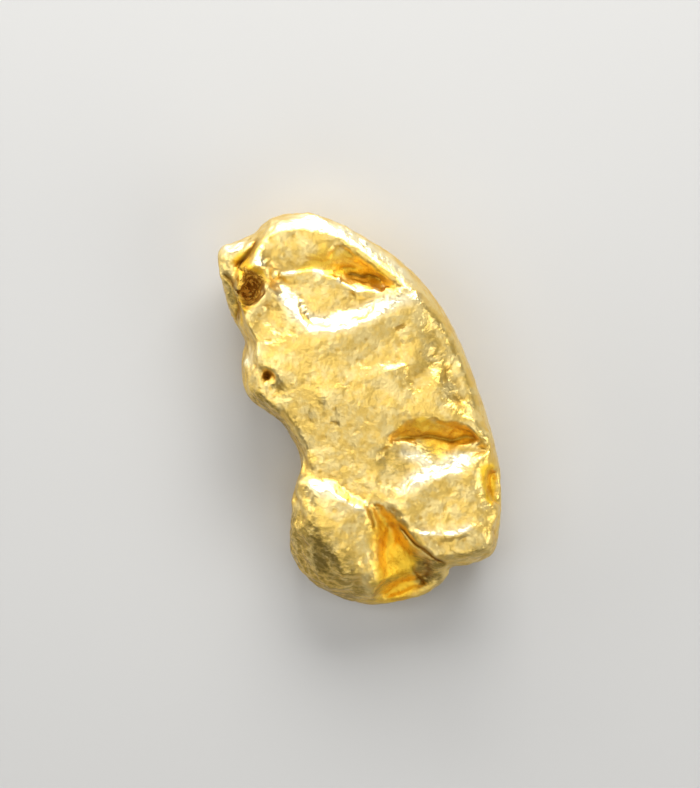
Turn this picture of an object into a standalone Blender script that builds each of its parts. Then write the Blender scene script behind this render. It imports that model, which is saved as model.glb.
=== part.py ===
"""A water-worn gold nugget, one solid lump of native gold lying on its worn underside.

The lump starts as a sphere primitive. Each of its points is drawn out to the nugget's outline seen
from above, and then lifted to a height. The heights come from a short list of named facets, such as
the shelf or the south-west lobe, each a sloping patch with soft banks, and from ridges and grooves
that follow hand-set lines. Everything is worked out in millimetres and scaled to metres at the end.

Axes: +X east, +Y north, +Z up. The origin is on the resting plane, under the middle of the outline.
"""

import math
from collections import namedtuple

import bmesh
import bpy
import numpy as np
from mathutils import Matrix, Vector, noise

# ---------------------------------------------------------------- driving dimensions, millimetres
PLATE_TOP = 2.93  # height of the broad main plate above the resting plane
WORN_OFF = 0.12  # how much of the underside is worn away to the flat it rests on
BROW_FULLNESS = 1.6  # how round the upper edge is: 2 is a circle, less is nearer to a bevel
KEEL_FULLNESS = 2.0  # the same for the lower edge
SPHERE_DETAIL = 7  # subdivisions of the starting sphere
SKIN_CELL = 0.1  # cell of the even skin laid over the drawn-out sphere
SKIN_SMOOTH = 0.5  # how strongly that skin is smoothed, and how many times
SKIN_PASSES = 2
KEPT_SHARE = 0.155  # share of the skin's triangles left after it is thinned
GROUND_BLOCK = 30.0  # side of the block that takes the worn flat off
RIM_BLEND = 0.14  # distance over which neighbouring rim stations blend at the least
MM = 0.001

GOLD = (0.93, 0.66, 0.24, 1.0)

# The outline seen from above, anticlockwise from the tip of the ear.
OUTLINE = [
    (-4.27, 4.85), (-4.29, 4.35), (-4.20, 3.85), (-4.10, 3.35), (-3.95, 2.90), (-3.73, 2.45),
    (-3.50, 2.10), (-3.60, 1.70), (-3.65, 1.20), (-3.55, 0.70), (-3.35, 0.30), (-3.00, 0.05),
    (-2.45, -0.35), (-2.15, -0.80), (-1.90, -1.25), (-1.80, -1.80), (-1.95, -2.20), (-2.08, -2.75),
    (-2.10, -3.35), (-2.15, -4.20), (-2.00, -4.65), (-1.60, -5.20), (-0.90, -5.65), (-0.15, -5.90),
    (0.60, -5.98), (1.35, -5.83), (2.05, -5.57), (2.55, -5.22), (2.72, -4.95), (2.57, -4.70),
    (2.80, -4.74), (3.25, -4.73), (3.83, -4.53), (4.12, -4.25), (4.23, -3.35), (4.28, -2.45),
    (4.19, -1.70), (4.08, -0.95), (3.87, -0.25), (3.61, 0.50), (3.31, 1.40), (2.97, 2.20),
    (2.52, 3.03), (1.88, 3.87), (1.08, 4.61), (0.28, 5.11), (-0.45, 5.55), (-1.20, 5.85),
    (-1.90, 5.95), (-2.53, 5.85), (-2.93, 5.63), (-3.15, 5.37), (-3.70, 5.12),
]  # fmt: skip
HUB = (0.0, -0.95)  # the point inside from which the whole outline can be seen

# The rim, place by place: how far in the upper edge is rounded over, how high the lump is widest,
# and how far in the lower edge is rounded over.
RimStation = namedtuple("RimStation", "place brow waist keel")
RIM = [
    RimStation((-4.0, 4.6), 0.45, 1.65, 1.30),
    RimStation((-3.9, 3.2), 0.45, 1.35, 1.10),
    RimStation((-3.5, 1.2), 0.42, 1.55, 1.30),
    RimStation((-2.3, -0.5), 0.36, 1.70, 1.50),
    RimStation((-1.9, -1.8), 0.34, 1.65, 1.10),
    RimStation((-1.9, -3.0), 0.80, 1.40, 1.10),
    RimStation((-1.9, -4.8), 1.50, 1.00, 1.20),
    RimStation((-0.5, -5.8), 1.25, 0.80, 1.10),
    RimStation((0.35, -5.95), 1.15, 0.75, 1.15),
    RimStation((1.15, -5.9), 0.35, 0.85, 1.20),
    RimStation((2.4, -5.3), 0.40, 1.05, 1.40),
    RimStation((3.2, -4.7), 0.45, 1.60, 1.70),
    RimStation((4.1, -4.2), 0.42, 1.70, 1.80),
    RimStation((4.2, -2.4), 0.32, 1.80, 1.50),
    RimStation((3.7, 0.4), 0.32, 1.75, 1.60),
    RimStation((2.3, 3.3), 0.50, 2.05, 2.20),
    RimStation((0.4, 5.1), 0.66, 2.15, 2.10),
    RimStation((-1.9, 6.0), 0.62, 2.10, 1.80),
]

# A facet is a patch of the top. From its outline inwards the surface goes over a bank to the
# facet's own level, which may slope towards east and north (mm per mm, positive rises) and be
# crowned like a dome (mm per mm squared).
Facet = namedtuple("Facet", "name outline bank level east north crown")
FACETS = [
    Facet("east flank", [(1.6, 3.4), (2.6, 3.1), (3.3, 1.8), (3.8, 0.5), (4.0, -0.7), (3.1, -0.4),
                         (2.4, 0.3), (1.9, 1.4), (1.5, 2.4)], 0.8, 2.66, -0.22, 0.04, 0.0),
    Facet("west shoulder", [(-3.7, 2.9), (-3.1, 3.5), (-2.3, 3.5), (-1.8, 2.6), (-1.9, 1.5),
                            (-2.6, 0.8), (-3.3, 1.5)], 0.8, 2.72, 0.10, -0.26, 0.0),
    Facet("summit hollow", [(-2.97, 5.25), (-2.44, 5.47), (-1.68, 5.5), (-0.92, 5.28),
                            (-0.17, 4.9), (0.52, 4.37), (1.05, 3.8), (1.73, 3.34), (1.05, 3.15),
                            (0.59, 2.9), (0.14, 2.65), (-0.47, 2.42), (-1.45, 2.2), (-1.85, 2.55),
                            (-2.25, 3.1), (-2.62, 3.45), (-2.85, 3.98), (-3.03, 4.36),
                            (-3.1, 4.82)], 0.55, 2.56, 0.0, 0.0, 0.0),
    Facet("summit dome", [(-2.9, 5.3), (-1.68, 5.45), (-0.7, 5.15), (-0.6, 4.6), (-1.0, 4.2),
                          (-1.83, 4.12), (-2.51, 4.12), (-3.0, 4.5)], 0.45, 2.80, 0.0, 0.16, 0.0),
    Facet("basin slope", [(-0.7, 4.95), (-0.17, 4.82), (0.52, 4.32), (1.12, 3.68), (0.59, 3.55),
                          (-0.17, 3.8), (-0.8, 4.0), (-1.2, 4.36), (-1.0, 4.65)],
          0.35, 2.42, -0.03, 0.40, 0.0),
    Facet("shelf", [(-1.95, 3.98), (-1.38, 4.1), (-0.77, 4.06), (-0.24, 3.72), (0.2, 3.5),
                    (-0.17, 3.18), (-0.70, 2.98), (-1.15, 2.86), (-1.7, 3.1), (-2.0, 3.53)],
          0.15, 2.60, 0.02, 0.02, 0.0),
    Facet("ear", [(-4.9, 5.2), (-3.9, 5.6), (-3.1, 5.5), (-3.22, 5.1), (-3.4, 4.6), (-3.55, 4.25),
                  (-3.65, 3.8), (-3.55, 3.2), (-3.45, 2.75), (-3.45, 2.4), (-4.4, 2.2),
                  (-4.9, 4.0)], 0.25, 2.28, 0.12, -0.06, 0.0),
    Facet("ear top", [(-4.7, 5.0), (-4.2, 5.3), (-3.4, 5.6), (-3.08, 5.35), (-3.25, 5.02),
                      (-3.6, 4.82), (-4.1, 4.62), (-4.6, 4.45)], 0.12, 2.10, 0.25, -0.70, 0.0),
    Facet("shoulder slope", [(-2.72, 4.02), (-2.3, 4.06), (-2.02, 3.9), (-2.0, 3.4), (-1.68, 2.85),
                             (-1.5, 2.5), (-1.9, 2.4), (-2.3, 2.85), (-2.62, 3.4)],
          0.14, 2.66, -0.20, -0.50, 0.0),
    Facet("rusty pit", [(-3.62, 4.2), (-3.2, 4.2), (-2.78, 4.0), (-2.9, 3.7), (-2.95, 3.35),
                        (-3.3, 3.12), (-3.6, 3.2), (-3.82, 3.5), (-3.68, 3.8)],
          0.30, 1.85, 0.0, 0.0, 0.0),
    Facet("west bulge", [(-3.6, 2.25), (-3.05, 2.2), (-2.95, 1.5), (-2.92, 0.9), (-2.65, 0.3),
                         (-3.0, -0.2), (-3.9, 0.4), (-4.1, 1.5)], 0.40, 2.40, 0.10, -0.24, 0.0),
    Facet("neck", [(-3.6, 1.4), (-1.6, 1.3), (-0.4, 0.9), (0.8, 0.4), (2.2, -0.6), (2.6, -4.6),
                   (-3.6, -4.6)], 2.60, 2.52, 0.05, 0.02, 0.0),
    Facet("east ripple", [(0.3, -0.9), (1.2, -0.8), (2.0, -1.0), (2.2, -2.2), (1.4, -3.0),
                          (0.5, -2.7)], 0.60, 2.47, 0.04, 0.0, 0.0),
    Facet("south-west lobe", [(-2.3, -2.0), (-1.3, -2.12), (-0.8, -2.32), (-0.2, -2.62),
                              (0.42, -2.98), (0.55, -3.7), (0.6, -4.6), (0.5, -5.5), (0.3, -6.5),
                              (-1.3, -6.5), (-2.9, -5.4), (-2.9, -3.0)], 0.30, 2.66, 0.07, 0.05,
          0.06),
    Facet("south-east lobe", [(0.75, -2.75), (1.2, -2.35), (1.8, -2.0), (2.4, -1.62), (3.0, -1.2),
                              (3.7, -0.98), (4.8, -1.2), (4.8, -5.0), (3.8, -5.4), (2.7, -4.85),
                              (2.2, -4.5), (1.75, -4.2), (1.45, -3.85), (1.2, -3.5), (0.85, -3.15)],
          0.50, 2.64, 0.01, 0.07, 0.0),
    Facet("fold apron", [(1.15, -2.52), (1.42, -2.15), (1.6, -1.7), (1.9, -1.42), (2.5, -1.38),
                         (3.0, -1.05), (3.7, -0.9), (4.0, -1.25), (3.76, -1.45), (3.41, -1.74),
                         (3.05, -1.98), (2.59, -1.98), (2.2, -2.12), (1.3, -2.62)],
          0.22, 2.58, 0.12, -0.44, 0.0),
    Facet("fold foot", [(1.0, -0.98), (1.5, -1.0), (2.1, -1.1), (2.5, -1.45), (2.1, -1.78),
                        (1.6, -1.7), (1.2, -1.35)], 0.18, 2.42, -0.02, -0.25, 0.0),
    Facet("fold wall", [(0.85, -0.98), (0.95, -0.76), (1.2, -0.46), (1.6, -0.22), (2.2, -0.24),
                        (2.9, -0.40), (3.35, -0.62), (3.70, -0.90), (3.3, -0.98), (2.77, -1.12),
                        (2.2, -1.0), (1.6, -1.0)], 0.14, 2.47, 0.0, 0.95, 0.0),
    Facet("fold floor", [(0.95, -0.95), (1.5, -0.84), (2.2, -0.82), (2.75, -0.95), (3.2, -0.82),
                         (3.66, -0.93), (3.3, -1.06), (3.0, -1.2), (2.75, -1.42), (2.5, -1.55),
                         (2.2, -1.42), (1.75, -1.18), (1.25, -1.04)],
          0.14, 2.33, 0.0, -0.08, 0.0),
    Facet("cleft", [(0.30, -2.78), (0.75, -3.05), (1.2, -3.35), (1.45, -3.7), (1.7, -4.1),
                    (2.1, -4.4), (2.7, -4.72), (3.1, -5.0), (2.6, -5.9), (1.7, -6.4), (0.6, -6.5),
                    (0.25, -5.8), (0.28, -5.0), (0.35, -4.3), (0.36, -3.6)],
          0.50, 1.80, 0.0, -0.04, 0.0),
    Facet("cleft lump", [(0.75, -4.1), (1.15, -4.0), (1.5, -4.3), (1.7, -4.75), (1.3, -4.95),
                         (0.8, -4.85)], 0.35, 1.98, 0.05, 0.10, 0.0),
    Facet("tongue", [(1.85, -4.5), (2.2, -4.6), (2.75, -4.8), (2.9, -5.2), (2.3, -5.5),
                     (1.85, -5.1)], 0.25, 1.80, 0.15, 0.0, 0.0),
    Facet("bottom hollow", [(0.35, -5.6), (0.65, -5.2), (1.2, -4.98), (1.9, -4.85), (2.4, -5.1),
                            (2.1, -5.5), (1.5, -5.78), (0.7, -5.9)], 0.34, 1.28, 0.05, 0.0, 0.0),
    Facet("edge pocket", [(3.68, -1.75), (3.95, -1.65), (4.3, -1.9), (4.5, -2.5), (4.3, -3.1),
                          (3.85, -2.85), (3.70, -2.3)], 0.24, 1.95, 0.10, 0.0, 0.0),
]  # fmt: skip

# A stroke is a ridge (or, with a negative rise, a groove) along a line. Its flanks fall away over
# the left and the right width, seen when walking along the line.
Stroke = namedtuple("Stroke", "name line rise left right")
STROKES = [
    Stroke("step crest", [(-1.6, 2.25), (-0.5, 2.35), (0.2, 2.6), (0.7, 2.9), (1.2, 3.15),
                          (1.8, 3.3)], 0.10, 0.22, 0.60),
    Stroke("basin crack", [(-0.75, 4.22), (-0.2, 4.02), (0.4, 3.87), (0.95, 3.70)],
           -0.19, 0.16, 0.13),
    Stroke("lip groove", [(-2.5, 4.25), (-1.7, 4.28), (-0.95, 4.2)], -0.08, 0.20, 0.12),
    Stroke("shelf lip", [(-2.5, 4.05), (-1.7, 4.10), (-1.0, 4.05), (-0.47, 3.80), (-0.05, 3.56),
                         (0.6, 3.52), (1.2, 3.48)], 0.11, 0.13, 0.20),
    Stroke("ear crest", [(-4.4, 4.5), (-3.9, 4.72), (-3.4, 4.92)], 0.08, 0.16, 0.16),
    Stroke("ear groove", [(-3.10, 5.40), (-3.22, 4.98), (-3.42, 4.6), (-3.66, 4.25)],
           -0.50, 0.14, 0.15),
    Stroke("ear fold", [(-4.25, 4.2), (-3.9, 3.75), (-3.65, 3.2)], -0.14, 0.12, 0.14),
    Stroke("ear foot", [(-3.85, 3.35), (-3.68, 2.95), (-3.52, 2.6)], -0.28, 0.13, 0.13),
    Stroke("pit lip", [(-3.5, 4.32), (-3.2, 4.36), (-2.8, 4.22)], 0.20, 0.28, 0.12),
    Stroke("bulge groove", [(-3.05, 2.2), (-2.93, 1.55), (-2.85, 1.0), (-2.65, 0.5)],
           -0.11, 0.20, 0.20),
    Stroke("bulge pinhole", [(-2.85, 1.08), (-2.82, 0.92)], -0.40, 0.11, 0.11),
    Stroke("plate swell", [(-0.9, 0.5), (-0.2, 0.2), (0.4, -0.2)], 0.09, 0.35, 0.50),
    Stroke("plate streak", [(0.1, 0.85), (0.5, 1.05), (1.1, 1.2), (1.6, 1.35)], 0.06, 0.14, 0.30),
    Stroke("flank valley", [(2.15, 2.4), (2.2, 1.9), (2.05, 1.35), (1.6, 0.85)], -0.12, 0.30, 0.28),
    Stroke("flank groove", [(2.75, 1.95), (2.88, 1.5), (2.65, 1.15)], -0.12, 0.12, 0.13),
    Stroke("waist furrow", [(-1.9, -1.95), (-1.1, -2.1), (-0.5, -2.4), (0.1, -2.75)],
           -0.10, 0.28, 0.12),
    Stroke("lobe lip", [(-1.9, -2.35), (-1.2, -2.45), (-0.6, -2.70), (0.1, -3.05), (0.3, -3.3)],
           0.10, 0.18, 0.42),
    Stroke("fold crack", [(1.08, -0.90), (1.6, -0.86), (2.2, -0.84), (2.77, -0.97), (3.4, -0.88)],
           -0.14, 0.14, 0.13),
    Stroke("fold crest", [(1.2, -2.58), (2.2, -2.08), (2.6, -1.94), (3.05, -1.93), (3.42, -1.68),
                          (3.76, -1.38)], 0.07, 0.12, 0.34),
    Stroke("lobe shoulder", [(0.12, -3.5), (0.2, -4.2), (0.2, -5.0), (0.1, -5.6)],
           -0.16, 0.50, 0.42),
    Stroke("cleft crack", [(0.5, -3.02), (1.0, -3.42), (1.32, -3.8), (1.6, -4.2), (2.1, -4.52)],
           -0.26, 0.13, 0.14),
    Stroke("tongue lip", [(2.1, -4.55), (2.38, -4.78), (2.58, -5.05)], 0.14, 0.12, 0.13),
    Stroke("hollow rib", [(0.4, -5.75), (0.7, -5.22), (1.2, -5.02), (1.75, -4.85), (2.1, -4.6)],
           0.16, 0.15, 0.13),
    Stroke("south-east step", [(2.4, -3.74), (2.79, -3.78), (3.17, -3.63), (3.47, -3.58)],
           0.10, 0.13, 0.30),
]  # fmt: skip

# Dents and folds of the underside, which never reach below the resting plane.
UNDER_STROKES = [
    Stroke("under cleft", [(2.4, -4.6), (1.4, -3.6), (0.9, -2.9), (0.2, -2.4)], -0.60, 0.35, 0.45),
    Stroke("under waist", [(-2.2, -1.5), (-1.2, -1.7), (-0.3, -1.4)], -0.55, 0.60, 0.50),
    Stroke("under fold", [(-3.4, 1.9), (-2.2, 2.4), (-0.9, 2.3), (0.3, 2.9)], -0.40, 0.22, 0.45),
    Stroke("under dent", [(1.5, 0.6), (2.1, 0.2)], -0.38, 0.65, 0.50),
    Stroke("under pit", [(-1.9, 4.3), (-1.5, 4.1)], -0.45, 0.35, 0.30),
    Stroke("under scoop", [(2.6, -2.2), (3.0, -2.6)], -0.34, 0.50, 0.60),
    Stroke("under ear", [(-3.9, 5.3), (-3.5, 4.4), (-3.6, 3.2)], -0.50, 0.40, 0.50),
    Stroke("under lobe", [(-0.9, -4.6), (-0.3, -4.9)], -0.30, 0.40, 0.40),
]  # fmt: skip

Lumps = namedtuple("Lumps", "wavelength height seed")
SWELLS = [Lumps(1.7, 0.060, 7.3), Lumps(0.8, 0.028, 2.1)]  # in the height of the upper face
UNDER_SWELLS = [Lumps(2.2, 0.30, 4.4), Lumps(0.9, 0.09, 8.7)]  # in the height of the underside
WAIST_SWELL = Lumps(1.9, 0.60, 1.6)  # in the height of the widest line
KEEL_SWELL = Lumps(1.4, 0.80, 6.2)  # in the rounding of the lower edge
STRAYS = [Lumps(0.65, 0.07, 3.7), Lumps(0.65, 0.07, 8.2)]  # of facet edges, east and north
GRAIN = Lumps(0.42, 0.020, 5.9)  # the fine unevenness all over, outwards from the surface


# ---------------------------------------------------------------- plan geometry
def smooth_line(points, closed, steps=5):
    """Points on a Catmull-Rom curve through the given points."""
    knots = np.array(points, float)
    count = len(knots)
    spans = count if closed else count - 1
    made = []
    for i in range(spans):
        if closed:
            a, b, c, d = (knots[(i + k) % count] for k in (-1, 0, 1, 2))
        else:
            a, b, c, d = (knots[min(max(i + k, 0), count - 1)] for k in (-1, 0, 1, 2))
        for t in np.arange(steps) / steps:
            made.append(
                0.5 * (2 * b + (c - a) * t + (2 * a - 5 * b + 4 * c - d) * t**2
                       + (3 * b - a - 3 * c + d) * t**3)
            )  # fmt: skip
    if not closed:
        made.append(knots[-1])
    return np.array(made)


def nearest(plan, line, closed):
    """Distance from each plan point to a line of points, and its side: +1 left, -1 right."""
    best = np.full(len(plan), np.inf)
    side = np.ones(len(plan))
    ends = np.roll(line, -1, axis=0) if closed else line[1:]
    for start, end in zip(line, ends):
        run = end - start
        offset = plan - start
        along = np.clip(offset @ run / (run @ run), 0, 1)
        away = offset - along[:, None] * run
        distance = np.hypot(away[:, 0], away[:, 1])
        closer = distance < best
        best[closer] = distance[closer]
        cross = run[0] * offset[:, 1] - run[1] * offset[:, 0]
        side[closer] = np.where(cross[closer] >= 0, 1.0, -1.0)
    return best, side


def depth_inside(plan, outline):
    """How far each plan point lies inside a closed outline; negative outside."""
    line = smooth_line(outline, closed=True)
    distance, _ = nearest(plan, line, closed=True)
    x, y = plan[:, 0], plan[:, 1]
    inside = np.zeros(len(plan), bool)
    for (x0, y0), (x1, y1) in zip(line, np.roll(line, -1, axis=0)):
        crosses = (y0 > y) != (y1 > y)
        if y1 != y0:
            inside ^= crosses & (x < x0 + (y - y0) * (x1 - x0) / (y1 - y0))
    return np.where(inside, distance, -distance)


def smooth_step(t):
    t = np.clip(t, 0, 1)
    return t * t * (3 - 2 * t)


# ---------------------------------------------------------------- the two faces of the lump
def lay(height, plan, facet):
    """Brings a patch of the surface to the facet's own sloping level, over its bank."""
    share = smooth_step(depth_inside(plan, facet.outline) / facet.bank)
    offset = plan - np.mean(facet.outline, axis=0)
    level = facet.level + facet.east * offset[:, 0] + facet.north * offset[:, 1]
    level = level - facet.crown * (offset**2).sum(axis=1)
    return height + share * (level - height)


def stroke_height(plan, stroke):
    distance, side = nearest(plan, smooth_line(stroke.line, closed=False), closed=False)
    width = np.where(side > 0, stroke.left, stroke.right)
    return stroke.rise * np.exp(-((distance / width) ** 2))


def lumpy(plan, lumps):
    """Natural unevenness at each plan point."""
    points = np.column_stack([plan, np.zeros(len(plan))]) / lumps.wavelength + lumps.seed
    return lumps.height * np.array([noise.noise(Vector(point)) for point in points])


def strayed(plan):
    """The plan points, each moved a little, so that hand-set lines come out uneven."""
    return plan + np.column_stack([lumpy(plan, lumps) for lumps in STRAYS])


def top_height(plan):
    height = np.full(len(plan), PLATE_TOP)
    for facet in FACETS:
        height = lay(height, plan, facet)
    for stroke in STROKES:
        height += stroke_height(plan, stroke)
    return height + sum(lumpy(plan, lumps) for lumps in SWELLS)


def under_height(plan):
    height = sum(lumpy(plan, lumps) for lumps in UNDER_SWELLS) - WORN_OFF
    for stroke in UNDER_STROKES:
        height -= stroke_height(plan, stroke)
    return height


def rim_values(plan):
    """Brow, waist and keel at each plan point, blended from the rim stations."""
    weight = np.array([1 / (((plan - s.place) ** 2).sum(axis=1) + RIM_BLEND**2) ** 2 for s in RIM])
    weight /= weight.sum(axis=0)
    brow, waist, keel = np.array([(s.brow, s.waist, s.keel) for s in RIM]).T @ weight
    return brow, waist + lumpy(plan, WAIST_SWELL), keel + lumpy(plan, KEEL_SWELL)


def rounded(depth, radius, fullness):
    """0 at the outline and 1 past the radius: a quarter circle where the fullness is 2, and nearer
    to a straight bevel where it is less."""
    t = np.clip(depth / radius, 0, 1)
    return (1 - (1 - t) ** fullness) ** (1 / fullness)


# ---------------------------------------------------------------- the solid
def outline_reach(directions):
    """Distance from the hub to the outline in each direction, given as an angle."""
    line = smooth_line(OUTLINE, closed=True) - HUB
    angles = np.unwrap(np.arctan2(line[:, 1], line[:, 0]))
    reach = np.hypot(line[:, 0], line[:, 1])
    turns = 2 * math.pi
    first = angles[0]
    return np.interp(
        (directions - first) % turns + first,
        np.append(angles, first + turns),
        np.append(reach, reach[0]),
    )


def shape_points(directions):
    """Sphere points (unit vectors) drawn out to the nugget's surface."""
    flat = np.hypot(directions[:, 0], directions[:, 1])
    angle = np.arctan2(directions[:, 1], directions[:, 0])
    plan = np.stack([np.cos(angle), np.sin(angle)], axis=1)
    plan = plan * (flat * outline_reach(angle))[:, None] + HUB
    depth = np.maximum(depth_inside(plan, OUTLINE), 0)
    brow, waist, keel = rim_values(plan)
    moved = strayed(plan)
    top = waist + (top_height(moved) - waist) * rounded(depth, brow, BROW_FULLNESS)
    under = waist + (under_height(moved) - waist) * rounded(depth, keel, KEEL_FULLNESS)
    height = np.where(directions[:, 2] >= 0, top, under)
    return np.column_stack([plan, height])


def roughen(mesh):
    """Moves every point along its normal by the fine unevenness."""
    seed = Vector((GRAIN.seed, GRAIN.seed, GRAIN.seed))
    for vertex, normal in [(v, v.normal.copy()) for v in mesh.verts]:
        vertex.co += normal * GRAIN.height * noise.noise(vertex.co / GRAIN.wavelength + seed)


def gold():
    material = bpy.data.materials.new("native gold")
    material.use_nodes = True
    surface = material.node_tree.nodes["Principled BSDF"]
    surface.inputs["Base Color"].default_value = GOLD
    surface.inputs["Metallic"].default_value = 1.0
    surface.inputs["Roughness"].default_value = 0.38
    material.diffuse_color = GOLD
    return material


def add_object(name, shape, collection):
    mesh = bpy.data.meshes.new(name)
    shape.to_mesh(mesh)
    shape.free()
    thing = bpy.data.objects.new(name, mesh)
    collection.objects.link(thing)
    return thing


def make_ground(collection):
    """A block under the resting plane, which takes off everything that hangs below it."""
    shape = bmesh.new()
    bmesh.ops.create_cube(shape, size=GROUND_BLOCK)
    bmesh.ops.translate(shape, vec=(0, 0, -GROUND_BLOCK / 2), verts=shape.verts)
    ground = add_object("ground", shape, collection)
    ground.hide_render = True
    ground.display_type = "WIRE"
    return ground


def make_nugget(collection, ground):
    shape = bmesh.new()
    bmesh.ops.create_icosphere(shape, subdivisions=SPHERE_DETAIL, radius=1.0)
    points = shape_points(np.array([v.co for v in shape.verts]))
    for vertex, point in zip(shape.verts, points):
        vertex.co = point
    shape.normal_update()
    roughen(shape)
    nugget = add_object("nugget", shape, collection)

    skin = nugget.modifiers.new("even skin", "REMESH")
    skin.mode = "VOXEL"
    skin.voxel_size = SKIN_CELL
    wear = nugget.modifiers.new("wear", "SMOOTH")
    wear.factor = SKIN_SMOOTH
    wear.iterations = SKIN_PASSES
    thin = nugget.modifiers.new("thin out", "DECIMATE")
    thin.ratio = KEPT_SHARE
    rest = nugget.modifiers.new("worn flat", "BOOLEAN")
    rest.operation = "DIFFERENCE"
    rest.solver = "EXACT"
    rest.object = ground

    graph = bpy.context.evaluated_depsgraph_get()
    worn = bpy.data.meshes.new_from_object(nugget.evaluated_get(graph))
    nugget.modifiers.clear()
    low = np.min([v.co for v in worn.vertices], axis=0)
    high = np.max([v.co for v in worn.vertices], axis=0)
    middle = Vector((*(low + high)[:2] / 2, 0))
    print("nugget moved by", [round(-MM * part, 7) for part in middle], "m to the origin")
    worn.transform(Matrix.Scale(MM, 4) @ Matrix.Translation(-middle))
    worn.shade_smooth()
    worn.materials.clear()
    worn.materials.append(gold())
    nugget.data = worn
    return nugget


def main():
    for old in list(bpy.data.objects):
        bpy.data.objects.remove(old)
    collection = bpy.data.collections.new("gold nugget")
    cutters = bpy.data.collections.new("cutters")
    for made in (collection, cutters):
        bpy.context.scene.collection.children.link(made)
    ground = make_ground(cutters)
    make_nugget(collection, ground)
    ground.scale = (MM, MM, MM)


main()
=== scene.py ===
# %% [markdown]
# A gold nugget and its skin
#
# The object is one water-worn lump of native gold, twelve millimetres long, lying on its worn
# underside. The CAD model already holds its lumps, ledges and pits. This lesson adds what the eye
# finds next: uneven edges, thin lips and cracks, the peck marks of the river bed, and the colour
# of gold that is pale in rubbed blotches and brown in one rusty pit, with painted light on top:
# painted highlights on the bands that face north, and painted shade, deep orange and tan in the
# hollows and folds, brown on the flanks and in the cracks. All of it goes on one skin, because a
# nugget is one piece.

# %% load the imported model
import math

import bmesh
import bpy
import numpy as np
from mathutils import Matrix, Vector, noise


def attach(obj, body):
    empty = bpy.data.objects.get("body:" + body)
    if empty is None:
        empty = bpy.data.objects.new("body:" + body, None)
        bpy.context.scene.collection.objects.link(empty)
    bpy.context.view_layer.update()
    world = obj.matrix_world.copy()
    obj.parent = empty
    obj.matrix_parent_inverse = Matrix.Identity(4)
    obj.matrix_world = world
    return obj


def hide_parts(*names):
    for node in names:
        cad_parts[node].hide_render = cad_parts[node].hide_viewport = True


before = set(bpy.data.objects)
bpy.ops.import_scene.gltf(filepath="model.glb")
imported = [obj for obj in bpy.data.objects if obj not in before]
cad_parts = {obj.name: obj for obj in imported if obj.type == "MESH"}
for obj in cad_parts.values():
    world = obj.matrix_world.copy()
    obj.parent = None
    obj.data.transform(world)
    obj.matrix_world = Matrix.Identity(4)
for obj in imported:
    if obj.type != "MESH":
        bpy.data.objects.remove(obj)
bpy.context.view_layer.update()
MM = 0.001
print("CAD nodes:", sorted(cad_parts))

# %% [markdown]
# The view
#
# A nugget this size is looked at through a long lens from straight above, so that nothing is
# drawn together by perspective. A short lens close by would make the summit look bigger than the
# foot. The camera therefore stands back and its lens is long.

# %% the camera, looking straight down
LENS = 200.0
SENSOR = 36.0
VIEW_HEIGHT = 23.879 * MM
VIEW_MIDDLE = (-0.287 * MM, 0.479 * MM)
VIEW_LEVEL = 1.8 * MM
NEAREST = 1.0 * MM
away = VIEW_HEIGHT * LENS / SENSOR
camera_data = bpy.data.cameras.new("camera")
camera_data.lens = LENS
camera_data.sensor_fit = "VERTICAL"
camera_data.sensor_height = SENSOR
camera_data.clip_start = NEAREST
camera = bpy.data.objects.new("camera", camera_data)
camera.location = (*VIEW_MIDDLE, VIEW_LEVEL + away)
bpy.context.scene.collection.objects.link(camera)
bpy.context.scene.camera = camera
print("camera height, mm:", round(camera.location.z / MM, 1))

# %% [markdown]
# The table
#
# Gold is a mirror with a rough skin: what it looks like is mostly what stands round it. A plain
# pale table gives its flanks an even glow. One big square is enough, and its edges lie far
# outside the view.

# %% the floor
FLOOR_SIZE = 0.36
TABLE_COLOUR = (0.52, 0.515, 0.50)
TABLE_ROUGHNESS = 0.7


def plain_material(name, colour, roughness):
    material = bpy.data.materials.new(name)
    material.use_nodes = True
    surface = material.node_tree.nodes["Principled BSDF"]
    surface.inputs["Base Color"].default_value = (*colour, 1.0)
    surface.inputs["Roughness"].default_value = roughness
    return material


floor_mesh = bpy.data.meshes.new("floor")
floor_shape = bmesh.new()
bmesh.ops.create_grid(floor_shape, x_segments=1, y_segments=1, size=FLOOR_SIZE / 2)
floor_shape.to_mesh(floor_mesh)
floor_shape.free()
floor_mesh.materials.append(plain_material("pale table", TABLE_COLOUR, TABLE_ROUGHNESS))
floor = bpy.data.objects.new("floor", floor_mesh)
bpy.context.scene.collection.objects.link(floor)
print("floor side, mm:", round(FLOOR_SIZE / MM))

# %% [markdown]
# The sky and the soft boxes
#
# The sky is dim where the gold mirrors it and pale where the camera sees it, so the shaded sides
# stay deep while the backdrop stays light. A Light Path node tells the two apart. Two strong soft
# boxes on the north side draw the bright bands along the ledges, and five weak ones round about
# keep the flanks and hollows from going black.

# %% the sky
SKY = 0.08
BACKDROP = 0.85
SKY_COLOUR = (1.0, 0.99, 0.97)
world = bpy.data.worlds.new("pale sky")
world.use_nodes = True
sky = world.node_tree
sky.nodes["Background"].inputs["Color"].default_value = (*SKY_COLOUR, 1.0)
seen = sky.nodes.new("ShaderNodeLightPath").outputs["Is Camera Ray"]
strength = sky.nodes.new("ShaderNodeMix")
strength.inputs["A"].default_value = SKY
strength.inputs["B"].default_value = BACKDROP
sky.links.new(seen, strength.inputs["Factor"])
sky.links.new(strength.outputs["Result"], sky.nodes["Background"].inputs["Strength"])
bpy.context.scene.world = world
bpy.context.scene.view_settings.view_transform = "Standard"
print("sky strength for the gold and for the camera:", SKY, BACKDROP)

# %% the soft boxes
BOX_DISTANCE = 90
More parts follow.
